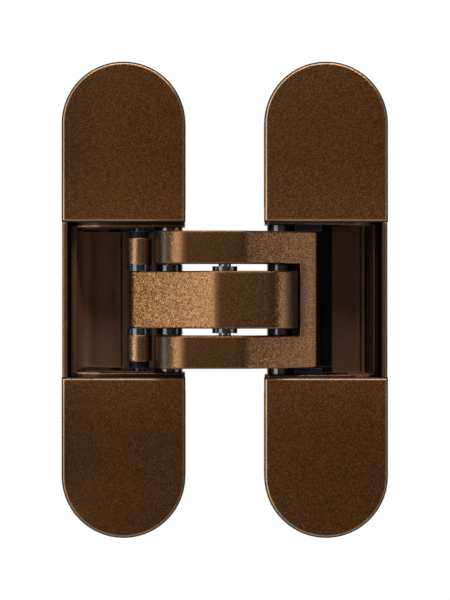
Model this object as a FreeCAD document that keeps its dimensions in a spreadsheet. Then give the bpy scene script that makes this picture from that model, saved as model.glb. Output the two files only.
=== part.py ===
import FreeCAD, Part
import Sketcher
import math
import os
import re
from FreeCAD import Vector, Rotation, Placement

# Concealed hinge, laid open flat at 180 degrees. Lengths are millimetres.
# The sheet's sizes count x from the plane midway between the two halves, y back from the visible
# front faces, and z up from the middle of the height. Every finished piece is then moved so that
# the origin lies at the centre of the frame half's screw pattern, on the back of its end blocks.

DIMS = {
    # distances across, from the mid-plane to each half's centre line and from there to its parts
    "half_dist": 20.2, "house_rad": 12.25, "cover_lap": 0.1, "pivot_in": 9.0, "eye_in": 3.4,
    "slide_in": 3.0, "deep_gap": 0.85, "wall_gap": 0.1, "guide_in": 0.8, "guide_out": 5.0,
    "web_in": 1.5, "web_out": 1.9, "back_in": 12.0, "web_half": 1.75, "web_step": 0.25,
    # thicknesses up the height, counted from the middle outwards
    "inner_half": 5.72, "prong_gap": 1.33, "prong_thick": 6.6, "guide_gap": 0.1, "cheek_frame": 0.8,
    "cheek_door": 1.25, "wall_thick": 2.45, "play_up": 1.3, "cover_step": 0.5, "rim_gap": 0.1,
    "block_end": 2.25, "guide_sunk": 1.2, "liner_front": 0.25, "liner_back": 0.12,
    "clamp_in": 5.75, "ear_past": 4.2, "screw_step": 10.2, "screw_gap": 8.6,
    "screw_end": 6.85, "peg_in": 1.0,
    "washer_thick": 1.38, "sleeve_long": 5.2,
    # depths, counted back from the covers' front
    "cover_thick": 1.2, "wall_low": 0.1, "guide_low": 0.4, "end_depth": 13.0, "tray_land": 19.2,
    "land_step": 1.3, "tray_base": 1.9, "floor_gap": 0.1, "floor_thick": 1.8, "channel_deep": 0.9,
    "guide_short": 1.0, "web_rise": 0.8, "guide_slant": 6.3, "rim_front": 0.15, "lip_depth": 10.0,
    # covers and housings
    "cover_edge": 0.4, "peg_rad": 1.0, "peg_gap": 0.05, "peg_len": 3.0, "peg_side": 8.4,
    "deep_round": 5.0, "rim_thick": 1.05, "rim_edge": 0.25, "lip_thick": 0.8,
    "screw_rad": 2.1, "head_rad": 3.9, "house_edge": 0.35,
    # carriages
    "tray_gap": 0.55, "tray_thick": 0.9, "tray_rise": 4.0, "tray_lean": 0.8, "tray_cove": 4.5,
    "land_out": 0.9, "seam_wide": 0.4, "seam_deep": 0.9, "rib_gap": 0.25, "rib_wide": 0.6,
    "liner_gap": 0.1, "wall_round": 0.9, "wall_side": 6.0,
    "wall_edge": 0.25, "tray_clear": 0.15, "ear_wide": 12.0, "ear_front": 6.1, "ear_thick": 3.0,
    "ear_gap": 0.1, "clamp_rad": 2.0, "clamp_gap": 0.05, "clamp_slot": 1.2, "clamp_head": 3.6,
    "clamp_tall": 2.3, "clamp_short": 0.4, "hex_flats": 3.0, "hex_deep": 1.4,
    # pivots
    "pivot_depth": 6.5, "centre_front": 3.4, "eye_depth": 3.2, "closed_gap": 4.0, "run_gap": 0.05,
    "slot_gap": 0.15,
    # arms
    "crest_front": 6.3, "crest_round": 7.0, "bend_round": 2.5, "fork_tilt": 28.0, "inner_tilt": 25.2,
    "eye_rad": 2.1,
    "fork_hub": 2.9, "inner_hub": 3.4, "back_front": 0.6, "throat_round": 1.2, "arm_edge": 0.35,
    "slot_edge": 0.45,
    # pins, bushes and sleeves
    "pivot_rad": 1.5, "bush_rad": 2.1, "flange_rad": 2.75, "centre_rad": 1.25, "collar_rad": 1.9,
    "collar_flange": 2.5, "collar_thick": 0.9, "slide_rad": 1.25, "sleeve_rad": 2.55, "spacer_rad": 2.0,
    "side_gap": 0.05, "pin_edge": 0.3, "pin_short": 0.3, "stub_in": 1.0,
}

# What follows from other sizes: each is a sum of named ones.
RULES = {
    "pivot_side": "half_dist - pivot_in", "eye_side": "half_dist - eye_in",
    "slide_side": "half_dist - slide_in", "land_side": "half_dist + land_out",
    "web_mid": "half_dist + web_step", "rib_near": "tray_thick + tray_lean + rib_gap",
    "rib_far": "rib_near + rib_wide", "groove_far": "rib_far + seam_wide",
    "cover_rad": "house_rad + cover_lap", "deep_inner": "half_dist - house_rad + deep_gap",
    "wall_end": "half_dist - house_rad + wall_gap",
    "guide_side": "half_dist - guide_in", "guide_far": "half_dist + guide_out",
    "web_near": "half_dist - web_in", "web_far": "half_dist + web_out",
    "back_side": "half_dist - back_in", "web_side": "eye_side - web_half",
    "prong_in": "inner_half + prong_gap", "prong_out": "prong_in + prong_thick",
    "guide_inner": "prong_out + guide_gap", "wall_frame": "guide_inner + cheek_frame",
    "wall_door": "guide_inner + cheek_door", "cover_cut": "wall_door + cover_step",
    "rim_dist": "cover_cut - rim_gap", "deep_dist": "wall_door + wall_thick + play_up + block_end",
    "clamp_dist": "wall_door + wall_thick + clamp_in", "ear_dist": "clamp_dist + ear_past",
    "screw_near": "clamp_dist + screw_step", "screw_far": "screw_near + screw_gap",
    "round_dist": "screw_far - screw_end", "peg_dist": "screw_near - peg_in",
    "washer_end": "inner_half + washer_thick", "sleeve_end": "washer_end + sleeve_long",
    "wall_front": "cover_thick + wall_low", "guide_front": "wall_front + guide_low",
    "tray_floor": "tray_land + land_step", "tray_back": "tray_floor + tray_base",
    "deep_depth": "tray_back + floor_gap + floor_thick", "guide_back": "tray_land - guide_short",
    "web_front": "tray_land - web_rise", "clamp_tip": "end_depth - clamp_short",
}


def amount(name):
    """A size's value in millimetres, worked out from the sheet where it is a sum."""
    if name in DIMS:
        return DIMS[name]
    total = 0.0
    sign = 1
    for word in RULES[name].split():
        if word in ("+", "-"):
            sign = 1 if word == "+" else -1
        else:
            total += sign * amount(word)
    return total


V = {name: amount(name) for name in list(DIMS) + list(RULES)}

doc = FreeCAD.newDocument("concealed_hinge")
sheet = doc.addObject("Spreadsheet::Sheet", "Dims")
for row, (alias, value) in enumerate(DIMS.items(), start=1):
    sheet.set("A%d" % row, alias.replace("_", " "))
    sheet.set("B%d" % row, str(value))
    sheet.setAlias("B%d" % row, alias)
doc.recompute()

nodes = []


def ex(text):
    """An expression in which each sum is written out and each named size points to its cell."""
    names = re.compile(r"[a-z]+_[a-z]+")
    while any(name in RULES for name in names.findall(text)):
        text = names.sub(lambda found: "(%s)" % RULES.get(found.group(0), found.group(0)), text)
    return names.sub(lambda found: "Dims." + found.group(0), text)


def bind(obj, prop, text):
    obj.setExpression(prop, ex(text))


def node(obj, label):
    """Names a finished piece and moves it to the hinge's own origin."""
    obj.Label = label
    bind(obj, "Placement.Base.x", "half_dist")
    bind(obj, "Placement.Base.y", "-end_depth")
    nodes.append(obj)
    return obj


def mirror_z(source, label):
    obj = doc.addObject("Part::Mirroring", label)
    obj.Source = source
    obj.Normal = Vector(0, 0, 1)
    obj.Label = label
    nodes.append(obj)
    return obj


def mirror_x(source, label):
    obj = doc.addObject("Part::Mirroring", label)
    obj.Source = source
    obj.Normal = Vector(1, 0, 0)
    bind(obj, "Base.x", "half_dist")
    obj.Label = label
    nodes.append(obj)
    return obj


def box(name, low_x, high_x, low_y, high_y, low_z, high_z):
    obj = doc.addObject("Part::Box", name)
    for size, place, low, high in (("Length", "x", low_x, high_x), ("Width", "y", low_y, high_y),
                                   ("Height", "z", low_z, high_z)):
        bind(obj, size, "(%s) - (%s)" % (high, low))
        bind(obj, "Placement.Base." + place, low)
    return obj


def rod(name, at_x, at_y, low_z, high_z, radius):
    """A cylinder along z."""
    obj = doc.addObject("Part::Cylinder", name)
    bind(obj, "Radius", radius)
    bind(obj, "Height", "(%s) - (%s)" % (high_z, low_z))
    bind(obj, "Placement.Base.x", at_x)
    bind(obj, "Placement.Base.y", at_y)
    bind(obj, "Placement.Base.z", low_z)
    return obj


def rod_y(name, at_x, at_z, low_y, high_y, radius, far_radius=None):
    """A cylinder or a cone along y."""
    obj = doc.addObject("Part::Cylinder" if far_radius is None else "Part::Cone", name)
    if far_radius is None:
        bind(obj, "Radius", radius)
    else:
        bind(obj, "Radius1", radius)
        bind(obj, "Radius2", far_radius)
    bind(obj, "Height", "(%s) - (%s)" % (high_y, low_y))
    obj.Placement = Placement(Vector(), Rotation(Vector(1, 0, 0), -90))
    bind(obj, "Placement.Base.x", at_x)
    bind(obj, "Placement.Base.y", low_y)
    bind(obj, "Placement.Base.z", at_z)
    return obj


def fuse(name, pieces):
    obj = doc.addObject("Part::MultiFuse", name)
    obj.Shapes = pieces
    obj.Refine = True
    return obj


def cut(name, base, tools):
    obj = doc.addObject("Part::Cut", name)
    obj.Base = base
    obj.Tool = tools[0] if len(tools) == 1 else fuse(name + "_tools", tools)
    obj.Refine = True
    return obj


def tube(name, at_x, at_y, low_z, high_z, radius, bore):
    wall = rod(name + "_wall", at_x, at_y, low_z, high_z, radius)
    return cut(name, wall, [rod(name + "_bore", at_x, at_y, low_z + " - 1", high_z + " + 1", bore)])


def new_body(name):
    return doc.addObject("PartDesign::Body", name)


def plane(body, role):
    return [f for f in body.Origin.OriginFeatures if f.Role == role][0]


def sketch_on(body, name, role):
    sketch = body.newObject("Sketcher::SketchObject", name)
    sketch.AttachmentSupport = [(plane(body, role), "")]
    sketch.MapMode = "FlatFace"
    return sketch


def polygon(body, name, corners, role="XY_Plane"):
    """A closed outline with each corner's two distances bound to the sheet."""
    sketch = sketch_on(body, name, role)
    count = len(corners)
    ring = [Vector(20 * math.cos(6.2832 * i / count + 0.3), 20 * math.sin(6.2832 * i / count + 0.3), 0)
            for i in range(count)]
    for i in range(count):
        sketch.addGeometry(Part.LineSegment(ring[i], ring[(i + 1) % count]), False)
    for i in range(count):
        sketch.addConstraint(Sketcher.Constraint("Coincident", i, 2, (i + 1) % count, 1))
    for i, (across, along) in enumerate(corners):
        for kind, text, value in (("DistanceX", across, ring[i].x), ("DistanceY", along, ring[i].y)):
            index = sketch.addConstraint(Sketcher.Constraint(kind, -1, 1, i, 1, value))
            bind(sketch, "Constraints[%d]" % index, text)
    return sketch


def circles(body, name, rounds, role="XY_Plane"):
    """Circles given by two centre distances and a radius."""
    sketch = sketch_on(body, name, role)
    for i, (across, along, radius) in enumerate(rounds):
        sketch.addGeometry(Part.Circle(Vector(5 + 9 * i, 5, 0), Vector(0, 0, 1), 2), False)
        for kind, text, value in (("DistanceX", across, 5 + 9 * i), ("DistanceY", along, 5)):
            index = sketch.addConstraint(Sketcher.Constraint(kind, -1, 1, i, 3, value))
            bind(sketch, "Constraints[%d]" % index, text)
        index = sketch.addConstraint(Sketcher.Constraint("Radius", i, 2))
        bind(sketch, "Constraints[%d]" % index, radius)
    return sketch


def pad(body, sketch, length, midplane=True, reverse=False):
    feature = body.newObject("PartDesign::Pad", sketch.Name + "_pad")
    feature.Profile = sketch
    bind(feature, "Length", length)
    feature.Midplane = midplane
    feature.Reversed = reverse
    return feature


def pocket(body, sketch, length, midplane=True, reverse=False):
    feature = body.newObject("PartDesign::Pocket", sketch.Name + "_pocket")
    feature.Profile = sketch
    bind(feature, "Length", length)
    feature.Midplane = midplane
    feature.Reversed = reverse
    return feature


def edges_near(feature, spots, tell):
    """Names of the straight edges whose middle, as seen by tell, lies at one of the spots."""
    doc.recompute()
    names = []
    for i, edge in enumerate(feature.Shape.Edges, start=1):
        ends = [tell(v.Point) for v in edge.Vertexes]
        if len(ends) != 2 or abs(edge.Length) < 0.01:
            continue
        for spot in spots:
            if all(abs(a - b) < 0.02 for end in ends for a, b in zip(end, spot)):
                names.append("Edge%d" % i)
                break
    return names


def fillet(body, base, names, radius):
    feature = body.newObject("PartDesign::Fillet", base.Name + "_fillet")
    feature.Base = (base, names)
    bind(feature, "Radius", radius)
    return feature


def seen_from_above(point):
    return (point.x, point.y)


# Covers
# A flat plate with one round end, edges slightly rounded, held by two pegs on its back.

def cover_plate(body, side):
    """The plate's outline: three straight sides and a half circle, in the x-z plane."""
    sketch = sketch_on(body, "cover_outline", "XZ_Plane")
    x_mid = side * V["half_dist"]
    rad = V["cover_rad"]
    low = V["cover_cut"]
    high = V["round_dist"]
    points = [Vector(x_mid + rad, high, 0), Vector(x_mid - rad, high, 0),
              Vector(x_mid - rad, low, 0), Vector(x_mid + rad, low, 0)]
    arc = Part.ArcOfCircle(Part.Circle(Vector(x_mid, high, 0), Vector(0, 0, 1), rad), 0, math.pi)
    sketch.addGeometry(arc, False)
    sketch.addGeometry(Part.LineSegment(points[1], points[2]), False)
    sketch.addGeometry(Part.LineSegment(points[2], points[3]), False)
    sketch.addGeometry(Part.LineSegment(points[3], points[0]), False)
    sketch.addConstraint(Sketcher.Constraint("Tangent", 0, 2, 1, 1))
    sketch.addConstraint(Sketcher.Constraint("Coincident", 1, 2, 2, 1))
    sketch.addConstraint(Sketcher.Constraint("Coincident", 2, 2, 3, 1))
    sketch.addConstraint(Sketcher.Constraint("Tangent", 3, 2, 0, 1))
    sketch.addConstraint(Sketcher.Constraint("Vertical", 1))
    sketch.addConstraint(Sketcher.Constraint("Vertical", 3))
    sketch.addConstraint(Sketcher.Constraint("Horizontal", 2))
    for kind, geo, pos, value, text in (("DistanceX", 0, 3, x_mid, "%d * half_dist" % side),
                                        ("DistanceY", 0, 3, high, "round_dist"),
                                        ("DistanceY", 2, 1, low, "cover_cut")):
        index = sketch.addConstraint(Sketcher.Constraint(kind, -1, 1, geo, pos, value))
        bind(sketch, "Constraints[%d]" % index, text)
    index = sketch.addConstraint(Sketcher.Constraint("Radius", 0, rad))
    bind(sketch, "Constraints[%d]" % index, "cover_rad")
    return sketch


cover_body = new_body("cover_body")
cover_pad = pad(cover_body, cover_plate(cover_body, -1), "cover_thick", False, True)
doc.recompute()
front_face = [i for i, f in enumerate(cover_pad.Shape.Faces, start=1) if abs(f.CenterOfMass.y) < 0.001][0]
fillet(cover_body, cover_pad, ["Face%d" % front_face], "cover_edge")
pegs = [rod_y("cover_peg_%s" % side, "-half_dist %s peg_side" % sign, "peg_dist",
              "cover_thick", "cover_thick + peg_len", "peg_rad")
        for side, sign in (("left", "-"), ("right", "+"))]
frame_cover_top = node(fuse("frame_cover_top", [cover_body] + pegs), "frame_cover_top")
frame_cover_bottom = mirror_z(frame_cover_top, "frame_cover_bottom")
door_cover_top = mirror_x(frame_cover_top, "door_cover_top")
door_cover_bottom = mirror_z(door_cover_top, "door_cover_bottom")


# Housings
# Each sits in the wood: shallow round ends for the screws, a deep block for the pocket between
# them, and a thin raised rim along the pocket's outer side.

def housing(name, wall):
    body = new_body(name + "_body")
    outline = sketch_on(body, name + "_outline", "XZ_Plane")
    x_mid = -V["half_dist"]
    rad = V["house_rad"]
    high = V["round_dist"]
    outline.addGeometry(Part.ArcOfCircle(Part.Circle(Vector(x_mid, high, 0), Vector(0, 0, 1), rad),
                                         0, math.pi), False)
    outline.addGeometry(Part.LineSegment(Vector(x_mid - rad, high, 0),
                                         Vector(x_mid - rad, -high, 0)), False)
    outline.addGeometry(Part.ArcOfCircle(Part.Circle(Vector(x_mid, -high, 0), Vector(0, 0, 1), rad),
                                         math.pi, 2 * math.pi), False)
    outline.addGeometry(Part.LineSegment(Vector(x_mid + rad, -high, 0),
                                         Vector(x_mid + rad, high, 0)), False)
    outline.addConstraint(Sketcher.Constraint("Tangent", 0, 2, 1, 1))
    outline.addConstraint(Sketcher.Constraint("Tangent", 1, 2, 2, 1))
    outline.addConstraint(Sketcher.Constraint("Tangent", 2, 2, 3, 1))
    outline.addConstraint(Sketcher.Constraint("Tangent", 3, 2, 0, 1))
    for kind, geo, value, text in (
            ("DistanceX", 0, x_mid, "-half_dist"), ("DistanceY", 0, high, "round_dist"),
            ("DistanceX", 2, x_mid, "-half_dist"), ("DistanceY", 2, -high, "-round_dist")):
        index = outline.addConstraint(Sketcher.Constraint(kind, -1, 1, geo, 3, value))
        bind(outline, "Constraints[%d]" % index, text)
    index = outline.addConstraint(Sketcher.Constraint("Radius", 0, rad))
    bind(outline, "Constraints[%d]" % index, "house_rad")
    outline.AttachmentOffset = Placement(Vector(0, 0, -V["cover_thick"]), Rotation())
    bind(outline, "AttachmentOffset.Base.z", "-cover_thick")
    ends = pad(body, outline, "end_depth - cover_thick", False, True)
    doc.recompute()
    back = [i for i, f in enumerate(ends.Shape.Faces, start=1)
            if abs(f.CenterOfMass.y - V["end_depth"]) < 0.001][0]
    fillet(body, ends, ["Face%d" % back], "house_edge")

    deep = box(name + "_deep", "-half_dist - house_rad", "-deep_inner", "end_depth - 1", "deep_depth",
               "-deep_dist", "deep_dist")
    doc.recompute()
    deep_round = doc.addObject("Part::Fillet", name + "_deep_round")
    deep_round.Base = deep
    deep_round.Edges = [(i, V["deep_round"], V["deep_round"])
                        for i, e in enumerate(deep.Shape.Edges, start=1)
                        if abs(e.Vertexes[0].Point.y - e.Vertexes[1].Point.y) > 1]
    rim = box(name + "_rim", "-half_dist - house_rad", "-half_dist - house_rad + rim_thick",
              "rim_front", "cover_thick + 1", "-rim_dist", "rim_dist")
    doc.recompute()
    rim_round = doc.addObject("Part::Fillet", name + "_rim_round")
    rim_round.Base = rim
    rim_round.Edges = [(i, V["rim_edge"], V["rim_edge"]) for i, e in enumerate(rim.Shape.Edges, start=1)
                       if all(abs(v.Point.y - V["rim_front"]) < 0.001 for v in e.Vertexes)
                       and abs(e.Vertexes[0].Point.z - e.Vertexes[1].Point.z) > 1]
    pocket_end = wall + " + wall_thick + play_up"
    tools = [
        box(name + "_pocket", "-half_dist - house_rad + rim_thick", "-deep_inner - lip_thick",
            "-1", "deep_depth - floor_thick", "-(%s)" % pocket_end, pocket_end),
        box(name + "_mouth", "-deep_inner - lip_thick - 1", "-half_dist + house_rad + 1", "-1", "lip_depth",
            "-(%s)" % pocket_end, pocket_end),
        box(name + "_side", "-deep_inner", "-half_dist + house_rad + 1", "-1", "end_depth + 1",
            "-(%s)" % pocket_end, pocket_end),
    ]
    for tag, sign in (("top", ""), ("bottom", "-")):
        low, high = "0", "ear_dist + play_up"
        if sign:
            low, high = "-(%s)" % high, "0"
        tools.append(box(name + "_ear_" + tag, "-half_dist - ear_wide / 2 - play_up",
                         "-half_dist + ear_wide / 2 + play_up", "-1", "ear_front + ear_thick + ear_gap",
                         low, high))
        tools.append(rod_y(name + "_clamp_" + tag, "-half_dist", sign + "clamp_dist", "0", "end_depth + 1",
                           "clamp_rad + clamp_gap"))
        for far, dist in (("near", "screw_near"), ("far", "screw_far")):
            tools.append(rod_y("%s_screw_%s_%s" % (name, far, tag), "-half_dist", sign + dist, "-1",
                               "end_depth + 1", "screw_rad"))
            tools.append(rod_y("%s_sink_%s_%s" % (name, far, tag), "-half_dist", sign + dist, "cover_thick",
                               "cover_thick + head_rad - screw_rad", "head_rad", "screw_rad"))
        for edge, side in (("left", "-"), ("right", "+")):
            tools.append(rod_y("%s_peg_%s_%s" % (name, edge, tag), "-half_dist %s peg_side" % side,
                               sign + "peg_dist", "0", "cover_thick + peg_len + peg_rad",
                               "peg_rad + peg_gap"))
    solid = fuse(name + "_solid", [body, deep_round, rim_round])
    return cut(name, solid, tools)


frame_housing = node(housing("frame_housing", "wall_frame"), "frame_housing")
door_housing_left = housing("door_housing_left", "wall_door")
bind(door_housing_left, "Placement.Base.x", "half_dist")
bind(door_housing_left, "Placement.Base.y", "-end_depth")
door_housing = mirror_x(door_housing_left, "door_housing")


# Guide slots
# The far end of each arm slides along this path in the other half's carriage. With the hinge
# half closed, both arms have turned about their own pivots by the same angle.

arm_long = math.hypot(V["pivot_side"], V["pivot_depth"] + V["centre_front"])
arm_open = math.atan2(-V["centre_front"] - V["pivot_depth"], V["pivot_side"])
arm_closed = math.asin(-(V["closed_gap"] / 2 + V["pivot_depth"]) / arm_long)
swing_full = arm_open + math.pi + arm_closed


def slot_point(part, eye):
    """The slide pin's centre when the hinge has gone this part of the way to closed."""
    eye_long = math.hypot(V[eye], V["eye_depth"] + V["centre_front"])
    eye_open = math.atan2(V["eye_depth"] + V["centre_front"], V[eye])
    turn = swing_full * part
    lean = math.pi - eye_open - math.pi * part + turn
    across = -V["pivot_side"] + arm_long * math.cos(arm_open - turn) + eye_long * math.cos(lean)
    depth = V["pivot_depth"] + arm_long * math.sin(arm_open - turn) + eye_long * math.sin(lean)
    return Vector(across, depth, 0)


def slot_cutter(name, half_wide, eye):
    """The path's two parallel sides joined by a half circle at each end, cut along z."""
    count = 17
    left, right, ends = [], [], []
    for i in range(count):
        part = i / (count - 1)
        step = slot_point(part + 0.001, eye) - slot_point(part - 0.001, eye)
        step.normalize()
        across = Vector(-step.y, step.x, 0)
        left.append(slot_point(part, eye) + across * half_wide)
        right.append(slot_point(part, eye) - across * half_wide)
        if i in (0, count - 1):
            ends.append(slot_point(part, eye) + step * (half_wide if i else -half_wide))
    sides = []
    for points in (left, right):
        curve = Part.BSplineCurve()
        curve.interpolate(points)
        sides.append(curve.toShape())
    start = Part.Arc(left[0], ends[0], right[0]).toShape()
    finish = Part.Arc(left[-1], ends[1], right[-1]).toShape()
    wire = Part.Wire(Part.__sortEdges__([sides[0], finish, sides[1], start]))
    tall = 2 * (V["wall_door"] + V["wall_thick"] + 2)
    solid = Part.Face(wire).extrude(Vector(0, 0, tall))
    obj = doc.addObject("Part::Feature", name)
    obj.Shape = solid
    obj.Placement = Placement(Vector(0, 0, -tall / 2), Rotation())
    return obj


TRAY_OUT = "-half_dist - house_rad + rim_thick + tray_gap"


def cheek_outline(body, name, grow):
    """The guide's side view: straight front near the pivot, then a slant that clears the path."""
    return polygon(body, name, [
        ("-pivot_side - flange_rad - 2 * side_gap + %s" % grow, "guide_front - %s" % grow),
        ("-guide_side", "guide_front - %s" % grow),
        ("-guide_far - %s" % grow, "guide_front + guide_slant"),
        ("-guide_far - %s" % grow, "guide_back + %s" % grow),
        ("-pivot_side - flange_rad - 2 * side_gap + %s" % grow, "guide_back + %s" % grow)])


# Carriages
# A tray between two end walls that hold the pivot pin and guide the slide pins. Its ears lie
# under the covers, each held by one clamp screw in a slotted hole.

def carriage(name, wall, floor_outline, cove_size, up_and_down, eye):
    out = TRAY_OUT
    lip = "-deep_inner - lip_thick - tray_clear"
    body = new_body(name + "_body")
    outline = polygon(body, name + "_outline", [
        (out, "wall_front + tray_rise"), (out, "tray_back"), (lip, "tray_back"),
        (lip, "lip_depth - tray_clear"), ("-wall_end", "lip_depth - tray_clear"), ("-wall_end", "wall_front"),
        (out + " + wall_side", "wall_front"), (out + " + wall_side / 2", "wall_front + tray_rise / 4")])
    outer = pad(body, outline, "2 * (%s + wall_thick)" % wall)
    corner = edges_near(outer, [(-V["wall_end"], V["wall_front"])], seen_from_above)
    rounded = fillet(body, outer, corner, "wall_round")
    hollow = polygon(body, name + "_hollow", floor_outline(out))
    inside = pocket(body, hollow, "2 * " + wall)
    cove_round = inside
    if cove_size:
        cove_at = -V["half_dist"] - V["house_rad"] + V["rim_thick"] + V["tray_gap"] + V["tray_thick"]
        cove = edges_near(inside, [(cove_at + V["tray_lean"], V["tray_floor"])], seen_from_above)
        cove_round = fillet(body, inside, cove, cove_size)
    doc.recompute()
    front = [i for i, e in enumerate(cove_round.Shape.Edges, start=1)
             if all(abs(v.Point.y - V["wall_front"]) < 0.001 and abs(abs(v.Point.z) - V[wall]) < 0.001
                    for v in e.Vertexes)]
    front_round = fillet(body, cove_round, ["Edge%d" % i for i in front], "wall_edge")
    body.Tip = front_round

    tools = [slot_cutter(name + "_slot", V["slide_rad"] + V["slot_gap"], eye),
             rod(name + "_bore", "-pivot_side", "pivot_depth", "-wall_door - wall_thick - 1",
                 "wall_door + wall_thick + 1", "pivot_rad")]
    if not up_and_down:
        recess = new_body(name + "_recess_body")
        pad(recess, cheek_outline(recess, name + "_recess", "run_gap"), "2 * (%s + guide_sunk)" % wall)
        tools.append(recess)
    ears = []
    for tag, sign in (("top", ""), ("bottom", "-")):
        low, high = wall + " + 0.5", "ear_dist"
        if sign:
            low, high = "-(%s)" % high, "-(%s)" % low
        ears.append(box(name + "_ear_" + tag, "-half_dist - ear_wide / 2", "-half_dist + ear_wide / 2",
                        "ear_front", "ear_front + ear_thick", low, high))
        if up_and_down:
            spots = (("-half_dist", sign + "clamp_dist - clamp_slot"),
                     ("-half_dist", sign + "clamp_dist + clamp_slot"))
            middle = ("-half_dist - clamp_rad - clamp_gap", "-half_dist + clamp_rad + clamp_gap",
                      sign + "clamp_dist - clamp_slot", sign + "clamp_dist + clamp_slot")
        else:
            spots = (("-half_dist - clamp_slot", sign + "clamp_dist"),
                     ("-half_dist + clamp_slot", sign + "clamp_dist"))
            middle = ("-half_dist - clamp_slot", "-half_dist + clamp_slot",
                      sign + "clamp_dist - clamp_rad - clamp_gap",
                      sign + "clamp_dist + clamp_rad + clamp_gap")
        for i, (at_x, at_z) in enumerate(spots):
            tools.append(rod_y("%s_slot_%s_%d" % (name, tag, i), at_x, at_z, "ear_front - 1",
                               "ear_front + ear_thick + 1", "clamp_rad + clamp_gap"))
        tools.append(box("%s_slot_%s_mid" % (name, tag), middle[0], middle[1], "ear_front - 1",
                         "ear_front + ear_thick + 1", middle[2], middle[3]))
    return cut(name, fuse(name + "_solid", [body] + ears), tools)


def frame_floor(out):
    """The frame side's tray: sloping outer wall, floor, a narrow seam, then a shallower land."""
    return [(out + " + tray_thick", "-2"), (out + " + tray_thick", "wall_front + tray_rise"),
            (out + " + tray_thick + tray_lean", "tray_floor"), ("-land_side - seam_wide", "tray_floor"),
            ("-land_side - seam_wide", "tray_floor + seam_deep"), ("-land_side", "tray_floor + seam_deep"),
            ("-land_side", "tray_land"), ("-deep_inner - 2 * lip_thick - tray_clear", "tray_land"),
            ("-deep_inner - 2 * lip_thick - tray_clear", "lip_depth + 1.5"),
            ("-wall_end + 1", "lip_depth - 1"), ("-wall_end + 1", "-2")]


def door_floor(out):
    """The door side's tray: a rib in a groove along its outer wall, a land, then a channel."""
    return [(out + " + tray_thick", "-2"), (out + " + tray_thick", "wall_front + tray_rise"),
            (out + " + tray_thick + tray_lean", "tray_floor"), (out + " + rib_near", "tray_floor"),
            (out + " + rib_near", "tray_land"), (out + " + rib_far", "tray_land"),
            (out + " + rib_far", "tray_floor"), (out + " + groove_far", "tray_floor"),
            (out + " + groove_far", "tray_land"), ("-web_far", "tray_land"),
            ("-web_far", "tray_floor + channel_deep"), ("-web_near", "tray_floor + channel_deep"),
            ("-web_near", "tray_land"), ("-deep_inner - 2 * lip_thick - tray_clear", "tray_land"),
            ("-deep_inner - 2 * lip_thick - tray_clear", "lip_depth + 1.5"),
            ("-wall_end + 1", "lip_depth - 1"), ("-wall_end + 1", "-2")]


frame_carriage = node(carriage("frame_carriage", "wall_frame", frame_floor, "tray_cove", True, "slide_side"),
                      "frame_carriage")
door_carriage_left = carriage("door_carriage_left", "wall_door", door_floor, None, False, "eye_side")
bind(door_carriage_left, "Placement.Base.x", "half_dist")
bind(door_carriage_left, "Placement.Base.y", "-end_depth")
door_carriage = mirror_x(door_carriage_left, "door_carriage")

# Guides
# The frame half has a painted liner on the inner face of each end wall, thinner at the front than
# at the back. The door half has one black piece: a cheek let into each end wall, with a raised
# part near the pivot, and a strip along the bottom of the pocket. All have the slot that a slide
# pin runs in.

liner_body = new_body("liner_body")
liner = polygon(liner_body, "liner_outline", [
    ("-pivot_side - flange_rad - 2 * side_gap", "guide_front"), (TRAY_OUT + " + wall_side", "guide_front"),
    (TRAY_OUT + " + wall_side / 2", "guide_front + tray_rise / 4"),
    (TRAY_OUT + " + tray_thick + liner_gap", "wall_front + tray_rise + guide_low"),
    (TRAY_OUT + " + tray_thick + tray_lean + liner_gap", "tray_floor - tray_cove"),
    (TRAY_OUT + " + tray_thick + tray_lean + tray_cove / 4", "guide_back"),
    ("-pivot_side - flange_rad - 2 * side_gap", "guide_back")])
liner.AttachmentOffset = Placement(Vector(0, 0, V["guide_inner"]), Rotation())
bind(liner, "AttachmentOffset.Base.z", "guide_inner")
pad(liner_body, liner, "wall_frame - guide_inner", False)
slope_body = new_body("slope_body")
pad(slope_body, polygon(slope_body, "slope_outline", [
    ("guide_front", "wall_frame - liner_front"), ("guide_back", "guide_inner + liner_back"),
    ("guide_back + 1", "guide_inner + liner_back"), ("guide_back + 1", "guide_inner - 1"),
    ("guide_front - 1", "guide_inner - 1"), ("guide_front - 1", "wall_frame - liner_front")], "YZ_Plane"),
    "4 * half_dist")
frame_guide = node(cut("frame_guide_top", liner_body, [
    slot_cutter("liner_path", V["slide_rad"] + V["run_gap"], "slide_side"), slope_body]), "frame_guide_top")
mirror_z(frame_guide, "frame_guide_bottom")

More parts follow.
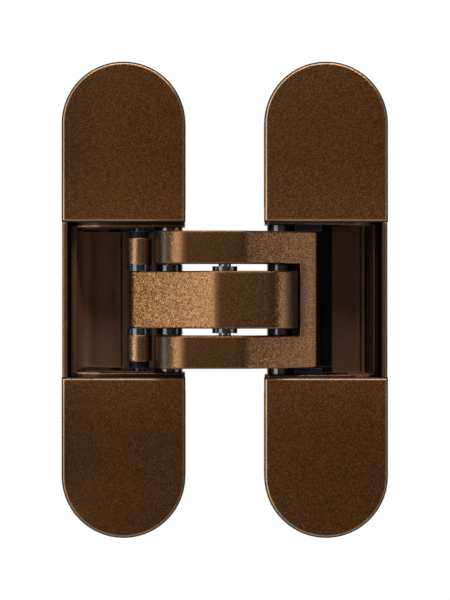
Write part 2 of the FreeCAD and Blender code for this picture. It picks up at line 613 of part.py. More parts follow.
sunk_body = new_body("sunk_body")
sunk = cheek_outline(sunk_body, "sunk_outline", "0")
sunk.AttachmentOffset = Placement(Vector(0, 0, V["wall_door"]), Rotation())
bind(sunk, "AttachmentOffset.Base.z", "wall_door")
pad(sunk_body, sunk, "guide_sunk", False)
cheek_top = cut("door_cheek", fuse("door_cheek_wall", [
    sunk_body,
    box("cheek_raised", "-guide_side", "-pivot_side - flange_rad - 2 * side_gap", "guide_front", "guide_back",
        "guide_inner", "wall_door")]),
    [slot_cutter("door_cheek_path", V["slide_rad"] + V["run_gap"], "eye_side")])
cheek_bottom = doc.addObject("Part::Mirroring", "door_cheek_bottom")
cheek_bottom.Source = cheek_top
cheek_bottom.Normal = Vector(0, 0, 1)
door_guide_left = fuse("door_guide_left", [
    cheek_top, cheek_bottom,
    box("guide_web", "-web_far", "-web_mid", "web_front", "tray_floor + channel_deep", "-wall_door",
        "wall_door"),
    box("guide_web_low", "-web_mid", "-web_near", "web_front + web_rise", "tray_floor + channel_deep",
        "-wall_door", "wall_door"),
    box("guide_root_top", "-web_far", "-web_near", "guide_back - 1", "web_front + web_rise", "guide_inner",
        "wall_door"),
    box("guide_root_bottom", "-web_far", "-web_near", "guide_back - 1", "web_front + web_rise", "-wall_door",
        "-guide_inner")])
bind(door_guide_left, "Placement.Base.x", "half_dist")
bind(door_guide_left, "Placement.Base.y", "-end_depth")
mirror_x(door_guide_left, "door_guide")

# Clamp screws
# A round head with a hexagon socket over each ear's slot, the shank in the housing.

hexagon_body = new_body("hexagon_body")
hexagon = sketch_on(hexagon_body, "hexagon", "XZ_Plane")
hex_points = [Vector(math.cos(math.pi * i / 3), math.sin(math.pi * i / 3), 0) * (V["hex_flats"] / 1.7320508)
              + Vector(-V["half_dist"], V["clamp_dist"], 0) for i in range(6)]
for i in range(6):
    hexagon.addGeometry(Part.LineSegment(hex_points[i], hex_points[(i + 1) % 6]), False)
for i in range(6):
    hexagon.addConstraint(Sketcher.Constraint("Coincident", i, 2, (i + 1) % 6, 1))
hex_steps = (("2", "0"), ("1", "1"), ("-1", "1"), ("-2", "0"), ("-1", "-1"), ("1", "-1"))
for i, (across, along) in enumerate(hex_steps):
    for kind, text, value in (
            ("DistanceX", "-half_dist + %s * hex_flats / 3.4641016" % across, hex_points[i].x),
            ("DistanceY", "clamp_dist + %s * hex_flats / 2" % along, hex_points[i].y)):
        index = hexagon.addConstraint(Sketcher.Constraint(kind, -1, 1, i, 1, value))
        bind(hexagon, "Constraints[%d]" % index, text)
hexagon.AttachmentOffset = Placement(Vector(0, 0, 0), Rotation())
bind(hexagon, "AttachmentOffset.Base.z", "-(ear_front - clamp_tall - 0.5)")
pad(hexagon_body, hexagon, "hex_deep + 0.5", False, True)
screw_solid = fuse("screw_solid", [
    rod_y("screw_head", "-half_dist", "clamp_dist", "ear_front - clamp_tall + 0.4", "ear_front",
          "clamp_head"),
    rod_y("screw_crown", "-half_dist", "clamp_dist", "ear_front - clamp_tall", "ear_front - clamp_tall + 0.4",
          "clamp_head - 0.4", "clamp_head"),
    rod_y("screw_shank", "-half_dist", "clamp_dist", "ear_front - 0.2", "clamp_tip - 0.6", "clamp_rad"),
    rod_y("screw_tip", "-half_dist", "clamp_dist", "clamp_tip - 0.6", "clamp_tip", "clamp_rad",
          "clamp_rad - 0.6")])
frame_clamp_top = node(cut("frame_clamp_screw_top", screw_solid, [hexagon_body]), "frame_clamp_screw_top")
frame_clamp_bottom = mirror_z(frame_clamp_top, "frame_clamp_screw_bottom")
door_clamp_top = mirror_x(frame_clamp_top, "door_clamp_screw_top")
door_clamp_bottom = mirror_z(door_clamp_top, "door_clamp_screw_bottom")


# Arms
# Both have the same side view, turned about: a neck up from the pivot, a large round shoulder,
# a flat crest over the gap, then a sloping flat down to the eye of the slide pin.

def arm(name, side, hub, half_thick, eye, tilt):
    """side is +1 for an arm whose eye points to +x, -1 for one whose eye points to -x."""
    flip = "%d * " % side
    body = new_body(name + "_body")
    tan_x = "(%s + eye_rad * sin(%s * 1 deg))" % (eye, tilt)
    tan_y = "(eye_depth - eye_rad * cos(%s * 1 deg))" % tilt
    bend_x = "(%s - (%s + crest_front) / tan(%s * 1 deg))" % (tan_x, tan_y, tilt)
    run = "sqrt((%s - back_side)^2 + (eye_depth + back_front)^2)" % eye
    lean = "(atan((eye_depth + back_front) / (%s - back_side)) + asin(eye_rad / %s))" % (eye, run)
    outline = polygon(body, name + "_outline", [
        (flip + "(-pivot_side - %s)" % hub, "pivot_depth"),
        (flip + "(-pivot_side - %s)" % hub, "-crest_front"),
        (flip + bend_x, "-crest_front"),
        (flip + tan_x, tan_y),
        (flip + eye, "eye_depth"),
        (flip + "(%s - eye_rad * sin(%s))" % (eye, lean), "eye_depth + eye_rad * cos(%s)" % lean),
        (flip + "back_side", "-back_front"),
        (flip + "(-pivot_side + fork_hub)", "-back_front"),
        (flip + "(-pivot_side + fork_hub)", "pivot_depth")])
    blank = pad(body, outline, "2 * " + half_thick)
    shoulder = edges_near(blank, [(side * (-V["pivot_side"] - V[hub]), -V["crest_front"])], seen_from_above)
    one = fillet(body, blank, shoulder, "crest_round")
    slope = math.radians(V[tilt])
    flat_end = Vector(V[eye] + V["eye_rad"] * math.sin(slope),
                      V["eye_depth"] - V["eye_rad"] * math.cos(slope), 0)
    bend_at = flat_end.x - (flat_end.y + V["crest_front"]) / math.tan(slope)
    bend = edges_near(one, [(side * bend_at, -V["crest_front"])], seen_from_above)
    two = fillet(body, one, bend, "bend_round")
    throat = edges_near(two, [(side * (-V["pivot_side"] + V["fork_hub"]), -V["back_front"]),
                              (side * V["back_side"], -V["back_front"])], seen_from_above)
    fillet(body, two, throat, "throat_round")
    ends = pad(body, circles(body, name + "_ends", [
        (flip + "(-pivot_side)", "pivot_depth", hub), (flip + eye, "eye_depth", "eye_rad")]),
        "2 * " + half_thick)
    body.Tip = ends
    doc.recompute()
    faces = ["Face%d" % i for i, f in enumerate(ends.Shape.Faces, start=1)
             if abs(abs(f.CenterOfMass.z) - V[half_thick]) < 0.001]
    body.Tip = fillet(body, ends, faces, "arm_edge")
    return body


fork_blank = arm("fork", 1, "fork_hub", "prong_out", "eye_side", "fork_tilt")
fork_slot = polygon(fork_blank, "fork_slot", [
    ("-pivot_side - 2 * fork_hub", "-crest_front - 2"), ("web_side", "-crest_front - 2"),
    ("web_side", "pivot_depth + 2 * fork_hub"), ("-pivot_side - 2 * fork_hub", "pivot_depth + 2 * fork_hub")])
fork_slot_cut = pocket(fork_blank, fork_slot, "2 * prong_in")
doc.recompute()
slot_edges = []
for i, edge in enumerate(fork_slot_cut.Shape.Edges, start=1):
    middle = edge.valueAt((edge.FirstParameter + edge.LastParameter) / 2)
    on_side = abs(abs(middle.z) - V["prong_in"]) < 0.001
    at_web = abs(middle.x - V["web_side"]) < 0.001
    if on_side and not at_web and middle.y < -V["back_front"] - 1:
        slot_edges.append("Edge%d" % i)
fork_blank.Tip = fillet(fork_blank, fork_slot_cut, slot_edges, "slot_edge")
fork_arm = node(cut("fork_arm", fork_blank, [
    rod("fork_hub_bore", "-pivot_side", "pivot_depth", "-prong_out - 1", "prong_out + 1", "bush_rad"),
    rod("fork_centre_bore", "0", "-centre_front", "-prong_out - 1", "prong_out + 1", "centre_rad"),
    rod("fork_eye_top", "eye_side", "eye_depth", "prong_in + stub_in", "prong_out + 1", "slide_rad"),
    rod("fork_eye_bottom", "eye_side", "eye_depth", "-prong_out - 1", "-prong_in - stub_in", "slide_rad")]),
    "fork_arm")

inner_blank = arm("inner", -1, "inner_hub", "inner_half", "slide_side", "inner_tilt")
inner_arm = node(cut("inner_arm", inner_blank, [
    rod("inner_hub_bore", "pivot_side", "pivot_depth", "-inner_half - 1", "inner_half + 1", "bush_rad"),
    rod("inner_centre_bore", "0", "-centre_front", "-inner_half - 1", "inner_half + 1", "collar_rad"),
    rod("inner_eye_bore", "-slide_side", "eye_depth", "-inner_half - 1", "inner_half + 1", "slide_rad")]),
    "inner_arm")


# Pins
# Round steel pins with a small cone at each end.

def pin(name, at_x, at_y, low, high, radius):
    return fuse(name, [
        rod(name + "_rod", at_x, at_y, low + " + pin_edge", high + " - pin_edge", radius),
        rod_cone(name + "_low", at_x, at_y, low, low + " + pin_edge", radius + " - pin_edge", radius),
        rod_cone(name + "_high", at_x, at_y, high + " - pin_edge", high, radius, radius + " - pin_edge")])


def rod_cone(name, at_x, at_y, low, high, low_radius, high_radius):
    obj = doc.addObject("Part::Cone", name)
    bind(obj, "Radius1", low_radius)
    bind(obj, "Radius2", high_radius)
    bind(obj, "Height", "(%s) - (%s)" % (high, low))
    bind(obj, "Placement.Base.x", at_x)
    bind(obj, "Placement.Base.y", at_y)
    bind(obj, "Placement.Base.z", low)
    return obj


node(pin("frame_pivot_pin", "-pivot_side", "pivot_depth", "-wall_frame - wall_thick + pin_short",
         "wall_frame + wall_thick - pin_short", "pivot_rad"), "frame_pivot_pin")
node(pin("door_pivot_pin", "pivot_side", "pivot_depth", "-wall_door - wall_thick + pin_short",
         "wall_door + wall_thick - pin_short", "pivot_rad"), "door_pivot_pin")
node(pin("centre_pin", "0", "-centre_front", "-prong_out + pin_short", "prong_out - pin_short",
         "centre_rad"), "centre_pin")
node(pin("inner_slide_pin", "-slide_side", "eye_depth", "-wall_frame - wall_thick + pin_short",
         "wall_frame + wall_thick - pin_short", "slide_rad"), "inner_slide_pin")
fork_slide = node(pin("fork_slide_pin_top", "eye_side", "eye_depth", "prong_in + stub_in",
                      "wall_door + wall_thick - pin_short", "slide_rad"), "fork_slide_pin_top")
mirror_z(fork_slide, "fork_slide_pin_bottom")

# Bushes and sleeves
# Flanged bushes line the fork's hubs and the centre bore, plain tubes space the rest.

fork_bush = node(cut("fork_bush_top", fuse("fork_bush_wall", [
    rod("fork_bush_body", "-pivot_side", "pivot_depth", "prong_in", "prong_out + 0.1", "bush_rad"),
    rod("fork_bush_flange", "-pivot_side", "pivot_depth", "prong_out", "wall_frame - side_gap",
        "flange_rad")]),
    [rod("fork_bush_bore", "-pivot_side", "pivot_depth", "prong_in - 1", "wall_frame + 1",
         "pivot_rad + run_gap")]), "fork_bush_top")
mirror_z(fork_bush, "fork_bush_bottom")

centre_bush = node(cut("centre_bush_top", fuse("centre_bush_wall", [
    rod("centre_bush_body", "0", "-centre_front", "inner_half / 5", "inner_half + 0.1", "collar_rad"),
    rod("centre_bush_flange", "0", "-centre_front", "inner_half", "inner_half + collar_thick",
        "collar_flange")]),
    [rod("centre_bush_bore", "0", "-centre_front", "-1", "inner_half + collar_thick + 1",
         "centre_rad + run_gap")]), "centre_bush_top")
mirror_z(centre_bush, "centre_bush_bottom")

node(tube("inner_bush", "pivot_side", "pivot_depth", "-inner_half", "inner_half", "bush_rad",
          "pivot_rad + run_gap"), "inner_bush")
node(tube("frame_pivot_spacer", "-pivot_side", "pivot_depth", "-prong_in + 2 * side_gap",
          "prong_in - 2 * side_gap", "flange_rad", "pivot_rad"), "frame_pivot_spacer")
door_spacer = node(tube("door_spacer_top", "pivot_side", "pivot_depth", "inner_half + side_gap",
                        "wall_door", "flange_rad", "pivot_rad"), "door_spacer_top")
mirror_z(door_spacer, "door_spacer_bottom")
inner_washer = node(tube("inner_washer_top", "-slide_side", "eye_depth", "inner_half", "washer_end",
                         "sleeve_rad", "slide_rad"), "inner_washer_top")
mirror_z(inner_washer, "inner_washer_bottom")
inner_sleeve = node(tube("inner_sleeve_top", "-slide_side", "eye_depth", "washer_end", "sleeve_end",
                         "sleeve_rad", "slide_rad"), "inner_sleeve_top")
mirror_z(inner_sleeve, "inner_sleeve_bottom")
inner_spacer = node(tube("inner_spacer_top", "-slide_side", "eye_depth", "sleeve_end",
                         "guide_inner - side_gap", "spacer_rad", "slide_rad"), "inner_spacer_top")
mirror_z(inner_spacer, "inner_spacer_bottom")

# Checks and export

doc.recompute()
bad = [o.Name for o in doc.Objects if "Invalid" in o.State or "Error" in o.State]
if bad:
    raise RuntimeError("objects failed: " + ", ".join(bad))
for obj in nodes:
    if obj.Shape.isNull() or not obj.Shape.isValid():
        raise RuntimeError("shape failed: " + obj.Label)
    if len(obj.Shape.Solids) != 1:
        raise RuntimeError("not one solid: %s has %d" % (obj.Label, len(obj.Shape.Solids)))

os.makedirs("parts", exist_ok=True)
for obj in nodes:
    obj.Shape.exportStep("parts/" + obj.Label + ".step")
    bb = obj.Shape.BoundBox
    print("%-26s x %7.2f %7.2f  y %7.2f %7.2f  z %7.2f %7.2f  vol %9.2f" % (
        obj.Label, bb.XMin, bb.XMax, bb.YMin, bb.YMax, bb.ZMin, bb.ZMax, obj.Shape.Volume))
print(len(nodes), "pieces, closing turn of each arm", round(math.degrees(swing_full), 3))
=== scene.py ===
import bpy
import math
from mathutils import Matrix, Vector

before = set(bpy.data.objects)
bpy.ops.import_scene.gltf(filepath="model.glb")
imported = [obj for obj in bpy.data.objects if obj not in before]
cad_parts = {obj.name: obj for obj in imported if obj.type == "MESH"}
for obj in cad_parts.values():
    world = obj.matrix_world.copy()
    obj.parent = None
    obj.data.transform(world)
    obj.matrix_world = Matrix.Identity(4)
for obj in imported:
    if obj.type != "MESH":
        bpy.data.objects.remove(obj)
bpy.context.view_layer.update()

# Camera
# The hinge is seen square on from the front, opened flat, with its middle in the middle of the
# picture. The camera stands half a metre in front of the covers.

mid_x = 0.0202
covers_y = -0.013
eye_back = 0.525
pixel_wide = 0.1993e-3
picture_tall = pixel_wide * 600

camera_data = bpy.data.cameras.new("camera")
camera_data.sensor_width = 36
camera_data.lens = 36 * eye_back / picture_tall
camera_data.clip_start = 0.01
camera_data.clip_end = 20
camera = bpy.data.objects.new("camera", camera_data)
camera.location = (mid_x + 0.04e-3, covers_y - eye_back, -0.05e-3)
camera.rotation_euler = (math.pi / 2, 0, 0)
bpy.context.scene.collection.objects.link(camera)
bpy.context.scene.camera = camera
bpy.context.scene.view_settings.view_transform = "Standard"

# Room and paper
# White paper fills the view and shows in the metal. The room in front is dark, so that the flat
# covers, which face the camera, stay dark.


class Socket:
    """A shader value that can be added, multiplied and so on with plain signs."""

    def __init__(self, tree, socket):
        self.tree = tree
        self.socket = socket

    def math(self, operation, *others):
        return Nodes(self.tree).add("ShaderNodeMath", {"operation": operation}, [self, *others])

    def __add__(self, other):
        return self.math("ADD", other)

    def __sub__(self, other):
        return self.math("SUBTRACT", other)

    def __rsub__(self, other):
        return Nodes(self.tree).add("ShaderNodeMath", {"operation": "SUBTRACT"}, [other, self])

    def __mul__(self, other):
        return self.math("MULTIPLY", other)

    def __getitem__(self, name):
        return Socket(self.tree, self.socket.node.outputs[name])

    __radd__ = __add__
    __rmul__ = __mul__


class Nodes:
    """Adds nodes to one material's or world's tree."""

    def __init__(self, tree):
        self.tree = tree

    def add(self, kind, settings=None, values=(), output=0):
        node = self.tree.nodes.new(kind)
        for name, value in (settings or {}).items():
            setattr(node, name, value)
        pairs = values.items() if isinstance(values, dict) else enumerate(values)
        for place, value in pairs:
            if isinstance(value, Socket):
                self.tree.links.new(value.socket, node.inputs[place])
            else:
                node.inputs[place].default_value = value
        return Socket(self.tree, node.outputs[output]) if node.outputs else None

    def noise(self, where, scale, detail=2.0):
        values = {"Vector": where, "Scale": scale, "Detail": detail}
        return self.add("ShaderNodeTexNoise", None, values)["Fac"]

    def blend(self, amount, first, second):
        values = {"Factor": amount, "A": first, "B": second}
        return self.add("ShaderNodeMix", {"data_type": "RGBA"}, values, 2)

    def dim(self, colour, amount):
        values = {"Vector": colour, "Scale": amount}
        return self.add("ShaderNodeVectorMath", {"operation": "SCALE"}, values)

    def ramp(self, value, low, high):
        """0 where the value is at or before low, 1 at or beyond high, and even between."""
        return self.add("ShaderNodeMapRange", None, [value, low, high])

    def place(self):
        """A point's place on the piece, and its x, y and z one by one, in metres."""
        where = self.add("ShaderNodeTexCoord")["Object"]
        split = self.add("ShaderNodeSeparateXYZ", None, [where])
        return where, split["X"], split["Y"], split["Z"]

    def edges(self, radius):
        """The shading of a rounded edge, and a mask that is 1 along it."""
        flat = self.add("ShaderNodeNewGeometry")["Normal"]
        round_edge = self.add("ShaderNodeBevel", {"samples": 6}, [radius])
        alike = self.add("ShaderNodeVectorMath", {"operation": "DOT_PRODUCT"},
                         [flat, round_edge], "Value")
        return round_edge, self.ramp(alike, 0.998, 0.90)


def empty_tree(owner):
    owner.use_nodes = True
    owner.node_tree.nodes.clear()
    return Nodes(owner.node_tree)


room = bpy.data.worlds.new("room")
bpy.context.scene.world = room
room_nodes = empty_tree(room)
seen = room_nodes.add("ShaderNodeLightPath")["Is Camera Ray"]
dim_room = room_nodes.add("ShaderNodeBackground", None, [(0.5, 0.5, 0.5, 1), 0.12])
white_room = room_nodes.add("ShaderNodeBackground", None, [(1, 1, 1, 1), 1.0])
room_nodes.add("ShaderNodeOutputWorld", None,
               [room_nodes.add("ShaderNodeMixShader", None, [seen, dim_room, white_room])])


def paper(name, corners):
    """A flat sheet of white paper that looks white to the camera and in reflections."""
    mesh = bpy.data.meshes.new(name)
    mesh.from_pydata(corners, [], [(0, 1, 2, 3)])
    sheet = bpy.data.objects.new(name, mesh)
    bpy.context.scene.collection.objects.link(sheet)
    surface = bpy.data.materials.new(name)
    nodes = empty_tree(surface)
    path = nodes.add("ShaderNodeLightPath")
    shows = path["Is Camera Ray"].math("MAXIMUM", path["Is Glossy Ray"])
    shows = shows.math("MAXIMUM", path["Is Transmission Ray"])
    matt = nodes.add("ShaderNodeBsdfDiffuse", None, [(0.8, 0.8, 0.8, 1)])
    glow = nodes.add("ShaderNodeEmission", None, [(1, 1, 1, 1), 1.0])
    mixed = nodes.add("ShaderNodeMixShader", None, [shows, matt, glow])
    nodes.add("ShaderNodeOutputMaterial", None, [mixed])
    mesh.materials.append(surface)


paper("back_paper", [(-1.5, 1.3, -0.3), (1.5, 1.3, -0.3), (1.5, 1.3, 1.5), (-1.5, 1.3, 1.5)])
paper("floor_paper", [(-1.5, -0.45, -0.3), (1.5, -0.45, -0.3), (1.5, 1.3, -0.3), (-1.5, 1.3, -0.3)])

# Lamps
# Soft boxes stand on the left, on the right and above, with a narrow one far to the left and a
# broad faint one beside the camera. The arms' sloping flats each mirror one of the side boxes.

lamp_away = 0.85

for name, turn, climb, wide, tall, power in (
        ("left_box", -39, 3, 0.45, 0.95, 4.6),
        ("left_side", -87, 0, 0.14, 0.8, 0.8),
        ("front_fill", 9, 0, 0.6, 0.9, 0.28),
        ("right_box", 68, -8, 0.42, 0.70, 1.5),
        ("top_box", 0, 50, 1.0, 0.25, 6.0)):
    lamp_data = bpy.data.lights.new(name, "AREA")
    lamp_data.shape = "RECTANGLE"
    lamp_data.size = wide
    lamp_data.size_y = tall
    lamp_data.energy = power
    lamp = bpy.data.objects.new(name, lamp_data)
    side = math.radians(turn)
    up = math.radians(climb)
    toward = Vector((math.sin(side) * math.cos(up), -math.cos(side) * math.cos(up), math.sin(up)))
    lamp.location = Vector((mid_x, 0, 0)) + toward * lamp_away
    lamp.rotation_euler = toward.to_track_quat("Z", "Y").to_euler()
    bpy.context.scene.collection.objects.link(lamp)

# Cover caps
# Four thin caps of pressed zinc clip over the fixing screws. They carry the same bronze flake
# lacquer as the arms: metal flakes in a dark brown varnish, scuffed a little along the edges.
# Their colour also carries painted light and shade, and a painted highlight along the edges.


def paint_node(name, material):
    """Rounds the shading of a piece's curved faces, keeps its edges crisp and paints it."""
    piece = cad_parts[name]
    for face in piece.data.polygons:
        face.use_smooth = True
    weld = piece.modifiers.new("weld", "WELD")
    weld.merge_threshold = 1e-6
    split = piece.modifiers.new("split", "EDGE_SPLIT")
    split.split_angle = math.radians(28)
    piece.data.materials.clear()
    piece.data.materials.append(material)


class Lacquer:
    """Bronze flake lacquer. Each flake has its own shade and leans its own way, so it sparkles."""

    def __init__(self, name, tint, contrast=0.8, tilt=0.13, flakes_per_metre=6200.0):
        self.material = bpy.data.materials.new(name)
        self.tint = tint
        self.tilt = tilt
        self.nodes = nodes = empty_tree(self.material)
        self.where, self.x, self.y, self.z = nodes.place()
        self.high = self.z.math("ABSOLUTE")
        self.flakes = nodes.add("ShaderNodeTexVoronoi", {"feature": "F1"},
                                {"Vector": self.where, "Scale": flakes_per_metre})["Color"]
        shade = nodes.add("ShaderNodeSeparateColor", None, [self.flakes])
        self.speck = shade["Red"] * shade["Red"] * 0.95 + nodes.noise(self.where, 160.0) * 0.12
        dark = [part * (1 - share * contrast) for part, share in zip(tint, (0.6, 0.7, 1.0))]
        light = [part * (1 + share * contrast) for part, share in zip(tint, (1.0, 1.4, 2.6))]
        self.colour = nodes.blend(self.speck, dark + [1], light + [1])
        self.normal, bevel_mask = nodes.edges(0.28e-3)
        # Brighter along the edges: scuffs, and a painted highlight.
        patchy = nodes.ramp(nodes.noise(self.where, 900.0, 4.0), 0.3, 0.8) * 0.5 + 0.5
        self.scuffed_and_highlit = patchy * bevel_mask
        self.metal = 0.95
        self.coat = 0.33
        self.rough = (shade["Green"] - 0.5) * 0.10 + 0.32 + self.scuffed_and_highlit * -0.06

    def lay(self, amount, colour):
        """Lays another colour over the paint, as thickly as amount says."""
        self.colour = self.nodes.blend(amount, self.colour, colour)

    def scuff_and_highlight_borders(self):
        """Shows brighter metal along the edges: scuffs, and a painted highlight on them."""
        self.lay(self.scuffed_and_highlit * 0.7, [part * 1.9 + 0.10 for part in self.tint] + [1])

    def outline(self, straight_edge=None, shade_inward_from=None):
        """Draws a half's outer edge in painted light: a pale line just inside it, which is a
        painted highlight, and a dark rim around that, which is painted shade.

        straight_edge is the height of a cap's other end, and shade_inward_from is how far in from
        the outside the front is darkened again with painted shade. Gives back how far in a point
        lies, and the rim's mask.
        """
        half_wide = 12.33e-3
        arc_from = 35.15e-3
        across = (self.x - mid_x).math("ABSOLUTE") - mid_x
        above = (self.high - arc_from).math("MAXIMUM", 0.0)
        inward = half_wide - (across * across + above * above).math("SQRT")
        if straight_edge:
            inward = inward.math("MINIMUM", self.high - straight_edge)
        front = self.nodes.ramp(self.y, -12.5e-3, -12.7e-3)
        # Painted highlight just inside the outer edge, painted shade on the rim and, where asked,
        # further in.
        line = self.nodes.ramp(inward, 0.66e-3, 0.54e-3) * front
        rim = self.nodes.ramp(inward, 0.32e-3, 0.22e-3) * front
        if shade_inward_from:
            painted_inner_shade = self.nodes.ramp(inward, shade_inward_from, shade_inward_from + 0.08e-3) * front
            rim = rim.math("MAXIMUM", painted_inner_shade)
        self.lay(line * 0.5, (0.40, 0.27, 0.17, 1))
        self.lay(rim * 0.97, (0.014, 0.006, 0.003, 1))
        self.metal = rim * -0.85 + 0.95
        self.coat = rim * -0.33 + 0.33
        self.rough = rim * 0.55 + self.rough
        return inward, rim

    def swell(self, height):
        """Shades the surface as if it stood out by this height, in metres."""
        self.normal = self.nodes.add("ShaderNodeBump", None, {
            "Strength": 1.0, "Distance": 1.0, "Height": height, "Normal": self.normal})

    def finish(self):
        """Adds the lacquer's faint ripple and the lean of its flakes."""
        nodes = self.nodes
        ripple = nodes.add("ShaderNodeBump", None, {
            "Strength": 0.18, "Distance": 0.02e-3, "Height": nodes.noise(self.where, 650.0, 1.0),
            "Normal": self.normal})
        lean = nodes.add("ShaderNodeVectorMath", {"operation": "MULTIPLY_ADD"},
                         [self.flakes, [self.tilt] * 3, ripple])
        lean = nodes.add("ShaderNodeVectorMath", {"operation": "SUBTRACT"},
                         [lean, [self.tilt / 2] * 3])
        lean = nodes.add("ShaderNodeVectorMath", {"operation": "NORMALIZE"}, [lean])
        shader = nodes.add("ShaderNodeBsdfPrincipled", None, {
            "Base Color": self.colour, "Metallic": self.metal, "Roughness": self.rough,
            "Normal": lean, "Coat Weight": self.coat, "Coat Roughness": 0.22})
        nodes.add("ShaderNodeOutputMaterial", None, [shader])
        return self.material


def cap_lacquer():
    """Painted light on the caps towards the pocket and the right, painted shade at the outer side,
    low down and on their sides in the seam.
    """
    straight_edge = 15.5e-3
    paint = Lacquer("cover_paint", (0.1615, 0.0568, 0.0117), tilt=0.10)
    ramp = paint.nodes.ramp
    paint.scuff_and_highlight_borders()
    inward, rim = paint.outline(straight_edge)
    # Painted light and shade: lighter towards the pocket and to the right, darker at the outer side
    # and low down.
    painted_light = ramp(paint.high, 27e-3, 16e-3) * 0.38 + 0.97
    painted_light = painted_light - ramp(paint.x, -3e-3, -12e-3) * 0.25 + ramp(paint.x, 12e-3, 28e-3) * 0.12
    painted_light = painted_light - ramp(paint.z, 0.0, -10e-3) * 0.13
    # Painted shade on the caps' sides in the seam, where the paint is also made matt.
    painted_seam_shade = ramp(paint.y, -12.90e-3, -12.75e-3)
    paint.colour = paint.nodes.dim(paint.colour, painted_light * (1 - painted_seam_shade * 0.85))
    paint.metal = paint.metal * (1 - painted_seam_shade)
    paint.coat = (1 - painted_seam_shade) * (1 - rim) * 0.22
    paint.rough = painted_seam_shade * 0.3 + paint.rough
    paint.swell(ramp(inward, 0.28e-3, 0.52e-3) * 0.062e-3)
    return paint.finish()


cover_paint = cap_lacquer()
for name in ("frame_cover_top", "frame_cover_bottom", "door_cover_top", "door_cover_bottom"):
    paint_node(name, cover_paint)

# Arms
# The fork and the inner arm are zinc castings in the same lacquer, with finer flakes that show
# where light falls on their sloping flats. The fork's hub side carries a painted grey reflection,
# and its far end and the edge of its slot are darkened with painted shade.


def soften_bend(paint, bend_x, half_angle):
    """Shades the bend between an arm's crest and its flat with the casting's wider rounding."""
    cast_round = 6.5e-3
    drawn_round = 2.5e-3
    slope = math.tan(math.radians(half_angle))
    away = (paint.x - bend_x).math("ABSOLUTE")
    wide = (cast_round * slope - away).math("MAXIMUM", 0.0)
    tight = (drawn_round * slope - away).math("MAXIMUM", 0.0)
    paint.swell(tight * tight * (0.5 / drawn_round) - wide * wide * (0.5 / cast_round))


fork_paint = Lacquer("fork_paint", (0.157, 0.0645, 0.0158), 0.65, 0.18, 7200.0)
# Painted reflection: the fork's hub side is greyer. Painted shade: its far end and the slot's edge
# are darker.
painted_hub_reflection = fork_paint.nodes.ramp(fork_paint.x, 9.6e-3, 8.6e-3)
painted_far_shade = fork_paint.nodes.ramp(fork_paint.x, 37.6e-3, 39.0e-3)
painted_web_shade = fork_paint.nodes.ramp(fork_paint.x, 36.8e-3, 35.2e-3)
in_slot = fork_paint.nodes.ramp(fork_paint.high, 7.4e-3, 7.0e-3)
fork_paint.lay(painted_hub_reflection * 0.85, (0.105, 0.08, 0.062, 1))
fork_paint.lay(painted_far_shade * 0.85, (0.02, 0.01, 0.005, 1))
fork_paint.lay(painted_web_shade * in_slot * 0.85, (0.03, 0.014, 0.006, 1))
fork_paint.scuff_and_highlight_borders()
soften_bend(fork_paint, 23.57e-3, 14.0)
paint_node("fork_arm", fork_paint.finish())

inner_paint = Lacquer("inner_paint", (0.162, 0.066, 0.0153), 1.0, 0.18, 8000.0)
# Painted highlight: the inner arm's hub end is paler.
painted_hub_highlight = inner_paint.nodes.ramp(inner_paint.x, 32.4e-3, 33.4e-3)
inner_paint.lay(painted_hub_highlight * 0.85, (0.24, 0.18, 0.125, 1))
inner_paint.scuff_and_highlight_borders()
soften_bend(inner_paint, 18.28e-3, 12.6)
paint_node("inner_arm", inner_paint.finish())

# Housings
# The two cast zinc bodies that sink into the door's edge and into the frame, sprayed with the
# lacquer. Along the outer edge of both runs a painted highlight line inside a painted shade rim,
# and on the door's one the front beside the pocket is darkened with painted shade up to the pale
# line.

frame_body = Lacquer("frame_body_paint", (0.162, 0.066, 0.0153))
frame_body.scuff_and_highlight_borders()
frame_body.outline()
paint_node("frame_housing", frame_body.finish())

door_body = Lacquer("door_body_paint", (0.162, 0.066, 0.0153))
door_body.scuff_and_highlight_borders()
door_body.outline(shade_inward_from=0.78e-3)
paint_node("door_housing", door_body.finish())

# Carriages and liners
# The cast carriages that slide in the housings when the hinge is adjusted, and the liners on the
# left pocket's end walls. Inside the pockets the lacquer is thin and dull, and darker copies of it
# carry painted light and shade.


